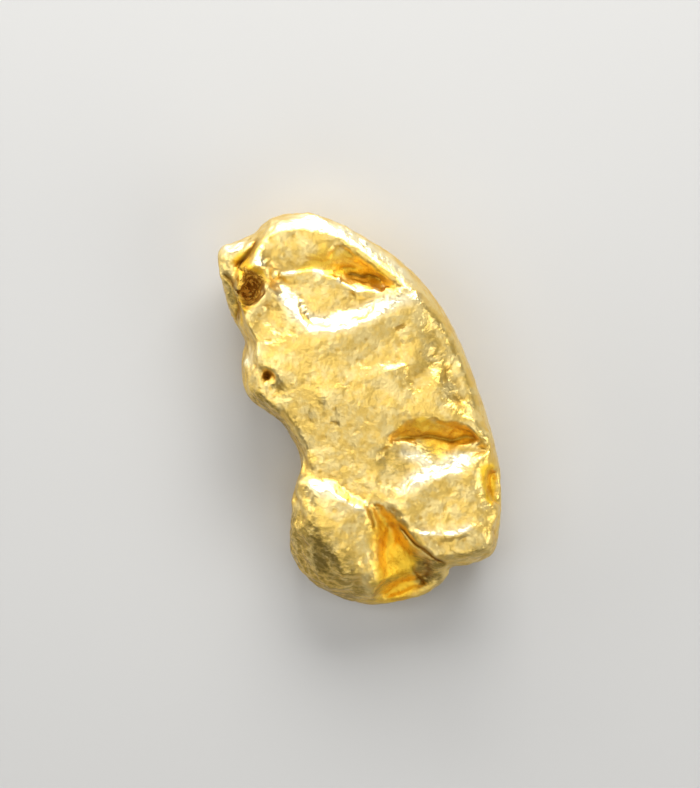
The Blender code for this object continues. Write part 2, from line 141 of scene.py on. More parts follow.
# Azimuth clockwise from north and elevation, in degrees; width and height, in mm; watts.
SOFT_BOXES = {
    "north box": (12, 34, 75, 45, 0.084),
    "low north box": (345, 14, 100, 36, 0.062),
    "west box": (285, 16, 60, 36, 0.025),
    "high west box": (270, 58, 45, 45, 0.015),
    "east box": (112, 30, 60, 45, 0.026),
    "south box": (185, 40, 60, 45, 0.014),
    "top box": (0, 90, 60, 60, 0.013),
}


def soft_box(name, azimuth, elevation, width, height, watts):
    """An even light that faces the nugget and doesn't show to the camera."""
    data = bpy.data.lights.new(name, "AREA")
    data.shape = "RECTANGLE"
    data.size, data.size_y = width * MM, height * MM
    data.energy = watts
    box = bpy.data.objects.new(name, data)
    bpy.context.scene.collection.objects.link(box)
    a, e = math.radians(azimuth), math.radians(elevation)
    towards = Vector((math.sin(a) * math.cos(e), math.cos(a) * math.cos(e), math.sin(e)))
    box.location = towards * BOX_DISTANCE * MM
    box.rotation_euler = (-towards).to_track_quat("-Z", "Y").to_euler()
    box.visible_camera = False


for name, placing in SOFT_BOXES.items():
    soft_box(name, *placing)
print("soft boxes:", len(SOFT_BOXES))

# %% [markdown]
# A finer skin
#
# The CAD lump is made of flat triangles a quarter of a millimetre across. To carve lips and peck
# marks the skin needs points four times closer. Subdividing would keep the flat triangles, so a
# copy is welded, laid over with a fresh even skin (a voxel remesh) and smoothed a little. The
# work is done in millimetres, because a remesh rounds small numbers badly.

# %% copy, weld and re-skin the lump
SKIN_CELL = 0.056
WELD = 1e-6


def re_skinned(node, cell):
    """A finely and evenly meshed copy of a CAD node, in millimetres."""
    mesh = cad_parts[node].data.copy()
    shape = bmesh.new()
    shape.from_mesh(mesh)
    bmesh.ops.remove_doubles(shape, verts=shape.verts, dist=WELD)
    bmesh.ops.scale(shape, vec=(1 / MM,) * 3, verts=shape.verts)
    shape.to_mesh(mesh)
    shape.free()
    rough = bpy.data.objects.new("rough copy", mesh)
    bpy.context.scene.collection.objects.link(rough)
    skin = rough.modifiers.new("skin", "REMESH")
    skin.mode = "VOXEL"
    skin.voxel_size = cell
    graph = bpy.context.evaluated_depsgraph_get()
    fine = bpy.data.meshes.new_from_object(rough.evaluated_get(graph))
    bpy.data.objects.remove(rough)
    return fine


lump_mesh = re_skinned("nugget", SKIN_CELL)
lump_mesh.materials.clear()
print("skin points:", len(lump_mesh.vertices), "faces:", len(lump_mesh.polygons))

# %% [markdown]
# Points as arrays
#
# Ninety thousand points are too many to move one by one. Their places are read into one array,
# worked on all together, and written back. The first work of the arrays is to smooth the skin:
# every point is drawn halfway to the average of its neighbours, a few times over. Only the flat
# that the nugget rests on stays as it was, so that the lump still stands level.

# %% read, smooth and write back
SKIN_PASSES = 6
RESTING_LEVEL = 0.01


def read_vectors(items, key):
    flat = np.zeros(len(items) * 3)
    items.foreach_get(key, flat)
    return flat.reshape(-1, 3)


def read_points(mesh):
    return read_vectors(mesh.vertices, "co")


def read_normals(mesh):
    return read_vectors(mesh.vertex_normals, "vector")


def read_edges(mesh):
    flat = np.zeros(len(mesh.edges) * 2, dtype=np.int32)
    mesh.edges.foreach_get("vertices", flat)
    return flat.reshape(-1, 2)


def write_points(mesh, points):
    mesh.vertices.foreach_set("co", points.ravel())
    mesh.update()


def relaxed(points, edges, passes):
    """The points drawn halfway to the average of their neighbours, several times over."""
    a, b = edges.T
    count = len(points)
    links = np.bincount(a, minlength=count) + np.bincount(b, minlength=count)
    for _ in range(passes):
        total = np.stack(
            [np.bincount(a, x[b], count) + np.bincount(b, x[a], count) for x in points.T], axis=1
        )
        points = 0.5 * points + 0.5 * total / links[:, None]
    return points


points = read_points(lump_mesh)
edges = read_edges(lump_mesh)
resting = points[:, 2] < RESTING_LEVEL
points[~resting] = relaxed(points, edges, SKIN_PASSES)[~resting]
write_points(lump_mesh, points)
print("lump size, mm:", np.round(np.ptp(points, axis=0), 3))

# %% [markdown]
# Uneven edges
#
# Ledges in real gold are never drawn with a ruler: squeezing and knocks have pushed them to and
# fro by a tenth of a millimetre. Giving each ledge many more points by hand would be slow.
# Instead, smooth noise moves the whole top sideways. The move fades out where the skin turns
# steep, so the outline stays where it is.

# %% nudge the top sideways
NUDGE = 0.11
BROAD_NUDGE = 0.50
FINE_NUDGE = 0.22
FINE_SHARE = 0.3
NUDGE_SEEDS = (1.3, 7.7)
FINE_SEED = 3.0
TOP_LEAN = 0.35


def ripple(points, wavelength, seed):
    """Smooth noise at each point, between about -1 and 1."""
    return np.array([noise.noise(Vector(p)) for p in points / wavelength + seed])


def nudged(points, reach):
    """The points moved sideways by smooth noise of two sizes."""
    moved = points.copy()
    for axis, seed in enumerate(NUDGE_SEEDS):
        fine = ripple(points, FINE_NUDGE, seed + FINE_SEED)
        moved[:, axis] += reach * (ripple(points, BROAD_NUDGE, seed) + FINE_SHARE * fine)
    return moved


def ramp(values, start, length):
    """0 up to the start, 1 from a length past it, straight between."""
    return np.clip((values - start) / length, 0, 1)


normals = read_normals(lump_mesh)
upper = ramp(normals[:, 2], 0, TOP_LEAN)
shift = (nudged(points, NUDGE) - points) * upper[:, None]
points += shift
write_points(lump_mesh, points)
print("furthest nudge, mm:", round(float(np.abs(shift).max()), 3))

# %% [markdown]
# Lines on the top
#
# Rubbed brims, lips and cracks all follow lines on the top. Each line is given by a few knots,
# in millimetres east and north of the middle, and a smooth curve (a Catmull-Rom curve) passes
# through them. It could be a curve object, but the arrays need only one answer from it: how far
# every point of the skin is from the line, seen from above.

# %% a line through knots, and the distance from it
LINE_STEPS = 6


def smooth_line(knots):
    """Points on a Catmull-Rom curve through the knots."""
    knots = np.array(knots, float)
    padded = np.vstack([knots[0], knots, knots[-1]])
    made = []
    for a, b, c, d in zip(padded, padded[1:], padded[2:], padded[3:]):
        for t in np.arange(LINE_STEPS) / LINE_STEPS:
            made.append(
                0.5 * (2 * b + (c - a) * t + (2 * a - 5 * b + 4 * c - d) * t**2
                       + (3 * b - a - 3 * c + d) * t**3)
            )
    made.append(knots[-1])
    return np.array(made)


def from_line(plan, line):
    """Distance from each plan point to a line, how far along it, and on which side (+1 left)."""
    best = np.full(len(plan), np.inf)
    place = np.zeros(len(plan))
    side = np.ones(len(plan))
    for i, (start, end) in enumerate(zip(line, line[1:])):
        run = end - start
        offset = plan - start
        along = np.clip(offset @ run / (run @ run), 0, 1)
        distance = np.hypot(*(offset - along[:, None] * run).T)
        closer = distance < best
        best[closer] = distance[closer]
        place[closer] = (i + along[closer]) / (len(line) - 1)
        cross = run[0] * offset[:, 1] - run[1] * offset[:, 0]
        side[closer] = np.sign(cross[closer])
    return best, place, side


def bell(distance, width):
    """1 on the line, falling away softly over the width."""
    return np.exp(-((distance / width) ** 2))


bend = smooth_line([(-1, 0), (0, 0.5), (1, 0)])
gap_to_bend, _, _ = from_line(np.zeros((1, 2)), bend)
print("a bend of three knots has", len(bend), "points; it passes the middle at",
      round(float(gap_to_bend[0]), 2), "mm")

# %% [markdown]
# Brims rubbed round
#
# The brims that stand proud were the first to be knocked and rubbed. A well smoothed copy of the
# skin shows what they would be like when worn away, and near each brim the skin is drawn to that
# copy. That rounds the brim and leaves the rest crisp, where smoothing everything would melt the
# whole lump. The corner over the tongue was worn down further, so it is also lowered.

# %% draw the brims to the smoothed skin
RUB_PASSES = 90
RUB_FOOT = 0.8
# Width of the rubbed band in mm, then its knots.
RUBBED_BRIMS = {
    "lobe shoulder": (0.30, [(0.3, -3.3), (0.38, -3.9), (0.4, -4.6), (0.38, -5.3)]),
    "edge pocket": (0.22, [(3.75, -1.55), (3.72, -2.2), (3.8, -2.9), (3.95, -3.3)]),
    "east flank": (0.25, [(2.3, 3.3), (2.8, 2.5), (3.1, 1.9), (3.5, 0.8), (3.8, -0.4)]),
    "summit brim": (0.20, [(-2.7, 5.5), (-1.9, 5.65), (-0.9, 5.5), (0.3, 4.9), (1.2, 4.3),
                           (2.1, 3.5)]),
    "head of the basin": (0.20, [(-1.0, 4.3), (-0.6, 4.55), (-0.2, 4.5)]),
    "east side of the cleft": (0.22, [(0.85, -3.0), (1.05, -3.25), (1.35, -3.6), (1.65, -3.95),
                                      (1.95, -4.2)]),
    "corner over the tongue": (0.34, [(1.95, -4.3), (2.2, -4.52), (2.5, -4.7)]),
    "south hollow": (0.18, [(0.65, -5.65), (0.85, -5.25), (1.3, -5.0), (1.75, -4.95),
                            (2.05, -5.1)]),
}
CORNER_EAST, CORNER_NORTH = 2.2, -4.5
CORNER_REACH = 0.4
CORNER_WEAR = 0.22
CORNER_FOOT = 2.0
CORNER_FADE = 0.4

points = read_points(lump_mesh)
calm = relaxed(points, edges, RUB_PASSES)
for width, knots in RUBBED_BRIMS.values():
    distance, _, _ = from_line(points[:, :2], smooth_line(knots))
    share = bell(distance, width) * (points[:, 2] > RUB_FOOT)
    points += (calm - points) * share[:, None]
from_corner = np.hypot(points[:, 0] - CORNER_EAST, points[:, 1] - CORNER_NORTH)
high = ramp(points[:, 2], CORNER_FOOT, CORNER_FADE)
points[:, 2] -= CORNER_WEAR * bell(from_corner, CORNER_REACH) * high
write_points(lump_mesh, points)
print("brims rubbed round:", len(RUBBED_BRIMS))

# %% [markdown]
# Lips and cracks
#
# Where gold was squeezed between pebbles it stands up in thin lips, and where two flaps were
# pressed together a crack stays. Each is a line on the top. A line can be carved by pushing the
# points near it up or down, less and less with distance; that keeps one skin and needs no extra
# piece. Each crack also leaves a number on the skin for the painted shade that darkens it.

# %% the lips and cracks
# Rise in mm (a crack's is negative), width on the left and on the right in mm, then the knots.
LINES = {
    "shelf lip": (0.035, 0.05, 0.10, [(-2.56, 4.02), (-1.9, 4.12), (-1.45, 4.17), (-0.97, 4.06),
                                      (-0.5, 3.83), (-0.1, 3.58), (0.45, 3.56), (1.1, 3.5)]),
    "basin crack north": (-0.05, 0.045, 0.045, [(-0.52, 4.28), (-0.33, 4.31), (-0.1, 4.28)]),
    "basin crack": (-0.10, 0.045, 0.045, [(-0.39, 4.1), (-0.16, 4.1), (0.1, 4.03), (0.33, 4.07),
                                          (0.66, 3.92)]),
    "basin dash": (-0.08, 0.04, 0.04, [(1.1, 3.74), (1.25, 3.7)]),
    "plate dash": (-0.07, 0.06, 0.06, [(1.09, 2.42), (1.35, 2.54)]),
    "plate ridge": (0.05, 0.06, 0.12, [(0.72, 1.17), (1.1, 1.25), (1.44, 1.33)]),
    "ear groove": (-0.14, 0.08, 0.08, [(-3.1, 5.13), (-3.27, 4.84), (-3.5, 4.52), (-3.7, 4.35)]),
    "ear dash": (-0.12, 0.045, 0.045, [(-3.7, 4.32), (-3.5, 4.17)]),
    "ear fold": (-0.10, 0.06, 0.06, [(-4.11, 4.11), (-3.94, 3.94), (-3.77, 3.68),
                                     (-3.62, 3.53)]),
    "ear strip": (-0.10, 0.07, 0.07, [(-3.71, 3.42), (-3.65, 3.16), (-3.68, 2.87),
                                      (-3.74, 2.7)]),
    "pit tail": (-0.14, 0.13, 0.13, [(-3.28, 3.5), (-3.36, 3.25), (-3.46, 3.0)]),
    "pinhole": (-0.22, 0.07, 0.07, [(-2.79, 1.08), (-2.82, 0.95)]),
    "fold line": (-0.08, 0.06, 0.05, [(1.1, -0.87), (1.52, -0.84), (1.86, -0.81), (2.22, -0.81),
                                      (2.56, -0.89), (2.8, -0.95), (3.2, -0.81), (3.58, -0.89)]),
    "cleft crack": (-0.12, 0.05, 0.05, [(1.2, -3.47), (1.4, -3.73), (1.68, -4.06), (1.9, -4.2),
                                        (2.3, -4.51), (2.6, -4.65)]),
    "cleft west": (-0.08, 0.05, 0.06, [(0.28, -2.98), (0.4, -3.25), (0.48, -3.6)]),
    "south-east crest": (0.05, 0.08, 0.12, [(1.5, -3.68), (2.12, -3.76), (2.57, -3.79),
                                            (2.96, -3.76), (3.43, -3.53)]),
    "lobe lip": (0.06, 0.06, 0.14, [(-1.45, -2.35), (-0.9, -2.42), (-0.55, -2.65), (0.05, -2.9),
                                    (0.25, -3.15)]),
    "tongue dent": (-0.09, 0.12, 0.12, [(1.95, -4.55), (2.1, -4.85), (1.95, -5.1)]),
    "tongue seam": (-0.08, 0.05, 0.05, [(1.55, -4.75), (1.75, -5.0), (2.0, -5.3)]),
    "hollow rib": (0.03, 0.05, 0.05, [(0.33, -5.7), (0.55, -5.3), (0.9, -5.05), (1.4, -4.88)]),
}
print("lips:", sum(height > 0 for height, _, _, _ in LINES.values()), "of", len(LINES), "lines")

# %% carve them
SHADE_DEPTH = 0.13
LINE_FOOT = 0.6
LINE_TAPER = (4, 0.4)


def tapered(place, steepness, at_end):
    """Full along the middle of a line, less towards its ends."""
    return np.clip(steepness * np.minimum(place, 1 - place) + at_end, 0, 1)


points = read_points(lump_mesh)
upper = ramp(read_normals(lump_mesh)[:, 2], 0, TOP_LEAN)
rise = np.zeros(len(points))
crack_shade = np.zeros(len(points))
for height, left, right, knots in LINES.values():
    distance, place, side = from_line(points[:, :2], smooth_line(knots))
    width = np.where(side > 0, left, right)
    near = tapered(place, *LINE_TAPER) * bell(distance, width)
    rise += height * near
    # Cracks get painted shade, darker the deeper they are cut.
    if height < 0:
        crack_shade = np.maximum(crack_shade, near * min(1.0, -height / SHADE_DEPTH))
points[:, 2] += rise * upper * (points[:, 2] > LINE_FOOT)
write_points(lump_mesh, points)
print("carved, mm:", round(float(rise.min()), 3), "to", round(float(rise.max()), 3))

# %% [markdown]
# Patches on the top
#
# Streaks, stains and tarnish don't follow lines: they fill patches. A patch is an outline of a
# few knots, again seen from above, and it counts fully inside, not at all outside, and softly
# across its edge. An image painted by hand could hold the patches too, but it would have to be
# unwrapped on the lump, and a named outline is easier to read and to move.

# %% a patch with a soft edge
def inside(plan, outline, soft):
    """1 well inside a closed outline, 0 outside, with a soft edge."""
    line = smooth_line([*outline, outline[0]])
    distance, _, _ = from_line(plan, line)
    x, y = plan.T
    within = np.zeros(len(plan), bool)
    for (x0, y0), (x1, y1) in zip(line, np.roll(line, -1, axis=0)):
        if y0 != y1:
            within ^= ((y0 > y) != (y1 > y)) & (x < x0 + (y - y0) * (x1 - x0) / (y1 - y0))
    t = np.clip(np.where(within, distance, -distance) / soft + 0.5, 0, 1)
    return t * t * (3 - 2 * t)


def strongest(patches, plan, least):
    """At each plan point the most that any patch gives it; least is what it has without them."""
    for strength, soft, outline in patches.values():
        least = np.maximum(least, strength * inside(plan, outline, soft))
    return least


# Strength, softness of the edge in mm, then the outline.
STREAKED = {
    "neck": (1.0, 0.8, [(-2.2, -0.9), (0.2, -0.9), (0.6, -2.3), (-0.2, -2.6), (-1.9, -1.9)]),
    "east ripple": (1.6, 0.5, [(0.25, -1.1), (1.2, -0.95), (2.0, -1.5), (1.9, -2.4),
                               (0.6, -2.3)]),
    "south-west lobe": (1.2, 1.0, [(-2.2, -3.0), (-1.0, -3.2), (0.2, -5.0), (0.1, -6.0),
                                   (-2.2, -5.4)]),
    "tongue": (1.6, 0.4, [(1.6, -4.2), (2.2, -4.4), (2.9, -5.0), (2.3, -5.6), (1.6, -5.0)]),
    "cleft lump": (1.3, 0.3, [(0.6, -3.5), (1.2, -3.9), (1.7, -4.6), (1.3, -5.0), (0.7, -4.9)]),
    "shoulder": (0.7, 0.6, [(-3.6, 2.0), (-3.0, 3.2), (-2.0, 3.0), (-2.0, 1.6), (-3.0, 1.4)]),
    "waist": (1.3, 0.6, [(-3.6, 0.5), (-2.9, 0.5), (-1.6, -0.9), (-1.6, -2.0), (-2.4, -1.4)]),
}
PLAIN_STREAKS = 0.45

points = read_points(lump_mesh)
streaked = strongest(STREAKED, points[:, :2], np.full(len(points), PLAIN_STREAKS))
print("share of the skin in a streaked patch:", round(float((streaked > PLAIN_STREAKS).mean()), 2))

# %% [markdown]
# River wear
#
# Years in gravel leave gold softly uneven, with fine streaks where stones were dragged over it,
# here from the north-west to the south-east. Noise does both: the same noise, stretched along
# the drag, makes the streaks. It is moved into the skin, not painted, so that light from any side
# finds it. It fades out towards the table, so that the flat the nugget rests on stays flat.

# %% swells, dents and streaks
# Height and wavelength in mm, then the seed of each noise.
SWELLS = ((0.016, 0.62, 4.2), (0.013, 0.28, 9.4), (0.006, 0.15, 2.7))
SIDE_SWELLS = ((0.035, 1.1, 3.3), (0.011, 0.24, 5.1))
STREAKS = (0.009, 0.17, 6.6)
STREAK_STRETCH = 4.5
WEAR_FOOT = 0.05
WEAR_FADE = 0.3


def along_drag(points, stretch):
    """The points with their north-west to south-east measure drawn together."""
    x, y, z = points.T
    along, across = (x - y) / math.sqrt(2), (x + y) / math.sqrt(2)
    return np.stack([along / stretch, across, z], axis=1)


def swollen(points, swells):
    """Several noises, each of its own height and size, added up."""
    return sum(height * ripple(points, wavelength, seed) for height, wavelength, seed in swells)


normals = read_normals(lump_mesh)
above = ramp(points[:, 2], WEAR_FOOT, WEAR_FADE)
side_on = np.clip(1 - np.abs(normals[:, 2]), 0, 1)
height, wavelength, seed = STREAKS
wear = swollen(points, SWELLS)
wear += side_on * swollen(points, SIDE_SWELLS)
wear += height * streaked * ripple(along_drag(points, STREAK_STRETCH), wavelength, seed)
points += normals * (wear * above)[:, None]
write_points(lump_mesh, points)
print("wear, mm:", np.round(np.percentile(wear, [1, 99]), 3))

# %% [markdown]
# Painted shade and highlights as numbers
#
# The colour of the nugget carries painted light. Folds are painted in the deep orange of shade,
# steep flanks in a brown shade, most of all those that face south-west, and bands that face north
# in painted highlights. Each of these is kept as a number from 0 to 1 on every point of the skin
# (an attribute), which the material reads later. The patches are looked up from nudged places, so
# that their edges wander.

# %% painted shade in the folds
PATCH_NUDGE = 0.25
# Patches of painted shade, deep orange, in the folds. Strength, softness of the edge in mm, then
# the outline, here and for the painted shade on the flanks.
SHADE_PATCHES = {
    "basin": (0.75, 0.50, [(-1.8, 4.2), (-1.4, 4.7), (-0.4, 4.85), (0.6, 4.2), (1.15, 3.7),
                           (0.6, 3.7), (-0.5, 3.95), (-1.4, 4.2)]),
    "basin crack": (1.00, 0.35, [(-0.9, 4.3), (-0.4, 4.5), (0.4, 4.25), (1.0, 3.8), (0.9, 3.65),
                                 (0.1, 3.85), (-0.6, 4.1)]),
    "fold": (0.85, 0.20, [(0.95, -0.9), (1.25, -0.5), (1.65, -0.25), (2.2, -0.3), (2.9, -0.45),
                          (3.5, -0.75), (3.55, -0.95), (3.0, -1.2), (2.6, -1.5), (2.2, -1.3),
                          (1.6, -1.0)]),
    "cleft": (1.00, 0.50, [(0.35, -2.95), (0.8, -3.2), (1.3, -3.75), (1.8, -4.25), (1.9, -4.6),
                           (1.6, -5.0), (2.0, -5.4), (1.3, -5.8), (0.5, -5.75), (0.5, -4.8),
                           (0.42, -3.8)]),
    "edge pocket": (1.00, 0.15, [(3.7, -1.7), (4.0, -1.75), (4.2, -2.4), (4.1, -2.95),
                                 (3.85, -2.8), (3.72, -2.2)]),
    "ear groove and pit": (1.00, 0.20, [(-3.75, 4.35), (-3.2, 5.1), (-3.05, 5.1), (-3.25, 4.5),
                                        (-3.0, 4.2), (-2.8, 3.9), (-3.0, 3.3), (-3.5, 3.0),
                                        (-3.6, 2.6), (-3.75, 2.8), (-3.75, 3.4), (-3.6, 3.8)]),
}


def keep_attribute(mesh, name, values):
    """Stores a number on every point of the mesh, for the marks or the material to read."""
    store = mesh.attributes.new(name, "FLOAT", "POINT")
    store.data.foreach_set("value", np.asarray(values, dtype=np.float32))
    print(name, "is kept; its average is", round(float(np.mean(values)), 3))


plan = points[:, :2]
level = points[:, 2]
wandering = nudged(points, PATCH_NUDGE)[:, :2]
shade = strongest(SHADE_PATCHES, wandering, np.zeros(len(points)))
keep_attribute(lump_mesh, "shade", shade * upper)

# %% painted shade on the flanks
SHADED_FLANKS = {
    "south-west flank": (0.95, 0.80, [(-2.3, -2.9), (-1.5, -3.1), (-0.6, -4.0), (0.0, -5.0),
                                      (0.1, -6.1), (-1.6, -5.9), (-2.6, -4.4)]),
    "waist": (1.00, 0.20, [(-3.7, 0.7), (-3.3, 0.55), (-2.8, 0.2), (-2.2, -0.4), (-1.7, -1.3),
                           (-2.0, -1.7), (-2.6, -0.4), (-3.4, 0.0)]),
    "tongue": (1.00, 0.25, [(1.65, -4.3), (2.2, -4.4), (2.5, -4.8), (2.45, -5.25), (1.9, -5.35),
                            (1.6, -4.95)]),
    "south-east edge": (0.60, 0.30, [(2.5, -4.4), (3.2, -4.3), (4.0, -4.0), (4.3, -3.5),
                                     (4.6, -4.1), (3.6, -4.9), (2.6, -4.8)]),
    "ear fold": (0.75, 0.20, [(-4.2, 4.3), (-3.8, 3.95), (-3.6, 3.4), (-3.7, 2.8), (-4.2, 3.2)]),
    "fold foot": (1.00, 0.15, [(1.5, -1.1), (2.4, -1.1), (3.0, -1.2), (2.7, -1.65),
                               (2.1, -1.5)]),
    "east ripple": (0.60, 0.20, [(0.5, -1.3), (1.2, -1.1), (1.7, -1.6), (1.3, -2.1),
                                 (0.6, -1.9)]),
    "hollow rib": (0.70, 0.12, [(0.3, -5.65), (0.6, -5.25), (1.1, -5.02), (1.2, -5.1),
                                (0.75, -5.35), (0.45, -5.7)]),
    "flank valley": (0.45, 0.50, [(1.9, 2.4), (2.3, 2.5), (2.5, 1.7), (2.1, 1.0), (1.5, 0.6),
                                  (1.7, 1.5)]),
}
# A start, then what the skin's lean to the east, to the north and upwards adds to it.
STEEP = (1.1, 0, 0, -1.6)
TO_SOUTH_WEST = (0.2, -0.7, -0.9, 0)
STEEP_SHADE = 0.20
SOUTH_WEST_SHADE = 0.45
FLANK_SHADE_FOOT = 0.3


def leaning(base, by_east, by_north, by_up):
    """How much each point of the skin faces a given way, from 0 to 1."""
    east, north, up = normals.T
    return np.clip(base + by_east * east + by_north * north + by_up * up, 0, 1)


# Painted brown shade on the steep flanks, most of all on those that face south-west, away from the
# north boxes.
steep = leaning(*STEEP)
flank_shade = STEEP_SHADE * steep + SOUTH_WEST_SHADE * steep * leaning(*TO_SOUTH_WEST)
flank_shade = strongest(SHADED_FLANKS, wandering, flank_shade)
keep_attribute(lump_mesh, "flank_shade", flank_shade * (level > FLANK_SHADE_FOOT))

# %% painted highlights on the bands that face north
# Bands of painted highlight. Width of the band in mm, then its knots.
HIGHLIGHT_BANDS = {
    "summit brim": (0.20, [(-2.9, 5.5), (-1.9, 5.75), (-0.9, 5.6), (0.3, 4.95), (1.2, 4.3),
                           (2.1, 3.5)]),
    "step crest": (0.30, [(-2.5, 3.9), (-2.2, 3.3), (-1.6, 2.7), (-0.6, 2.6), (0.3, 2.95),
                          (1.2, 3.3), (1.9, 3.4)]),
    "west end of the shelf lip": (0.09, [(-2.4, 4.05), (-2.15, 4.1), (-1.9, 4.12)]),
    "first stretch of the shelf lip": (0.14, [(-1.42, 4.12), (-1.26, 4.1), (-1.1, 4.06)]),
    "second stretch": (0.11, [(-0.7, 3.9), (-0.6, 3.87), (-0.48, 3.84)]),
    "third stretch": (0.12, [(-0.26, 3.6), (-0.14, 3.57), (-0.02, 3.56)]),
    "fourth stretch": (0.10, [(0.42, 3.62), (0.59, 3.66), (0.76, 3.64)]),
    "fold apron": (0.28, [(1.15, -2.5), (1.7, -2.1), (2.3, -1.85), (2.8, -1.6), (3.5, -1.3)]),
    "fold foot": (0.20, [(1.2, -1.15), (1.7, -1.4), (2.2, -1.75)]),
    "lobe lip": (0.22, [(-1.6, -2.35), (-0.9, -2.5), (-0.4, -2.85), (0.2, -3.2)]),
    "south-east crest, west part": (0.17, [(1.75, -3.76), (2.2, -3.8), (2.5, -3.8)]),
    "south-east crest, east part": (0.17, [(2.65, -3.78), (3.0, -3.72), (3.4, -3.5)]),
    "ear top": (0.22, [(-4.2, 4.9), (-3.7, 5.0), (-3.3, 5.2)]),
    "west bulge": (0.26, [(-3.35, 2.2), (-3.42, 1.8), (-3.4, 1.3)]),
    "pit lip": (0.16, [(-3.15, 4.6), (-3.0, 4.4), (-2.9, 4.3)]),
    "south edge": (0.07, [(-0.5, -5.83), (0.1, -5.93), (0.75, -5.95), (1.25, -5.85)]),
}
HIGHLIGHT_TAPER = (5, 0.2)
# As for the painted shade on the flanks, a start and what the skin's lean adds to it.
TO_NORTH = (0.6, 0, 2.5, 0)
TO_SKY = (-0.9, 0, 0, 3)

highlight_and_polish = np.zeros(len(points))
for width, knots in HIGHLIGHT_BANDS.values():
    distance, place, _ = from_line(plan, smooth_line(knots))
    highlight_and_polish = np.maximum(highlight_and_polish, tapered(place, *HIGHLIGHT_TAPER) * bell(distance, width))
# Painted highlights only where the bands face north and upwards, towards the north boxes.
north_side = leaning(*TO_NORTH) * leaning(*TO_SKY)
keep_attribute(lump_mesh, "highlight_and_polish", highlight_and_polish * north_side)

# %% the rusty pit, the painted shade in the cracks, the beaded lip and the open skin
PIT = [(-3.66, 4.3), (-3.5, 4.2), (-3.27, 4.14), (-3.1, 4.1), (-2.87, 4.02), (-2.62, 3.95),
       (-2.9, 3.75), (-2.92, 3.5), (-3.05, 3.3), (-3.3, 3.12), (-3.54, 3.2), (-3.71, 3.4),
       (-3.72, 3.62), (-3.55, 3.75), (-3.6, 4.0)]
PIT_SOFT = 0.10
PIT_FOOT = 1.2
PIT_FADE = 0.3
LIP_WIDTH = 0.13
LIP_FOOT = 1.5

rust = inside(wandering, PIT, PIT_SOFT) * ramp(level, PIT_FOOT, PIT_FADE)
_, _, _, lip_knots = LINES["shelf lip"]
lip_gap, _, _ = from_line(plan, smooth_line(lip_knots))
keep_attribute(lump_mesh, "rust", rust)
keep_attribute(lump_mesh, "crack_shade", crack_shade * upper)
keep_attribute(lump_mesh, "lip", bell(lip_gap, LIP_WIDTH) * (level > LIP_FOOT))
keep_attribute(lump_mesh, "open_skin", (1 - rust) * above)

# %% [markdown]
# Peck marks, beads and crumbs
#
# Pebbles pecked small bowls into the skin, along the squeezed lip the gold was left in beads, and
# the rust in the pit is crumbly. All three repeat without order, so a small tree of Geometry
# Nodes scatters points over the skin with a fixed seed and moves the skin in or out round each of
# them. The same tree serves three times: with a negative height for pecks, and with a positive
# one for beads and crumbs.

# %% the tree and its inputs
MARK_INPUTS = {
    "Skin": "NodeSocketGeometry",
    "Where": "NodeSocketFloat",
    "Per Square Millimetre": "NodeSocketFloat",
    "Radius": "NodeSocketFloat",
    "Height": "NodeSocketFloat",
    "Seed": "NodeSocketInt",
    "Metal": "NodeSocketMaterial",
}
marks = bpy.data.node_groups.new("marks", "GeometryNodeTree")
marks.is_modifier = True
for name, kind in MARK_INPUTS.items():
    marks.interface.new_socket(name, in_out="INPUT", socket_type=kind)
marks.interface.new_socket("Skin", in_out="OUTPUT", socket_type="NodeSocketGeometry")
given = marks.nodes.new("NodeGroupInput").outputs
print("inputs of the tree:", list(MARK_INPUTS))

# %% [markdown]
# Nodes in few words
#
# The marks and the metal are both nets of small nodes. Making a node takes one line, and so does
# each input that is set and each link, so a net soon hides what it does. Three helpers say it
# shorter: one gives an input a number or a link, one makes a whole node, and one does a sum. The
# first thing they make is the marks, scattered over the skin, each with a size of its own.

# %% helpers for nodes, and the scattered marks
SMALLEST_MARK = 0.45


def give(socket, value):
    """Links an output to an input, or sets the input to a plain value."""
    if isinstance(value, bpy.types.NodeSocket):
        socket.id_data.links.new(value, socket)
    else:
        socket.default_value = value


def add_node(tree, kind, **values):
    """A node with some of its inputs given; keys are input names with _ for a space."""
    made = tree.nodes.new(kind)
    for key, value in values.items():
        give(made.inputs[key.replace("_", " ")], value)
    return made


def worked(tree, operation, *values):
    """The result of a sum on numbers or outputs."""
    made = tree.nodes.new("ShaderNodeMath")
    made.operation = operation
    for socket, value in zip(made.inputs, values):
        give(socket, value)
    return made.outputs["Value"]


density = worked(marks, "MULTIPLY", given["Where"], given["Per Square Millimetre"])
scatter = add_node(marks, "GeometryNodeDistributePointsOnFaces", Mesh=given["Skin"],
                   Density=density, Seed=given["Seed"])
chance = add_node(marks, "FunctionNodeRandomValue", Seed=given["Seed"])
# A Random Value node has several inputs called Min and Max; 2 and 3 are those of its numbers.
chance.inputs[2].default_value = SMALLEST_MARK
chance.inputs[3].default_value = 1.0
sized = add_node(marks, "GeometryNodeStoreNamedAttribute", Name="size",
                 Geometry=scatter.outputs["Points"], Value=chance.outputs[1])
scattered = sized.outputs["Geometry"]
print("nodes so far:", len(marks.nodes))

# %% [markdown]
# From scattered points to bowls
#
# The marks could be cut with small spheres, but a thousand cuts are slow and leave torn edges.
# Instead every point of the skin asks for the mark that is nearest to it, and moves in or out
# along its own normal by how close it lies. The mesh keeps its faces, so it stays one clean skin.

# %% the mark that is nearest to each point of the skin
nearest = add_node(marks, "GeometryNodeSampleNearest", Geometry=scattered)
here = add_node(marks, "GeometryNodeInputPosition").outputs["Position"]
size_there = add_node(marks, "GeometryNodeInputNamedAttribute", Name="size")


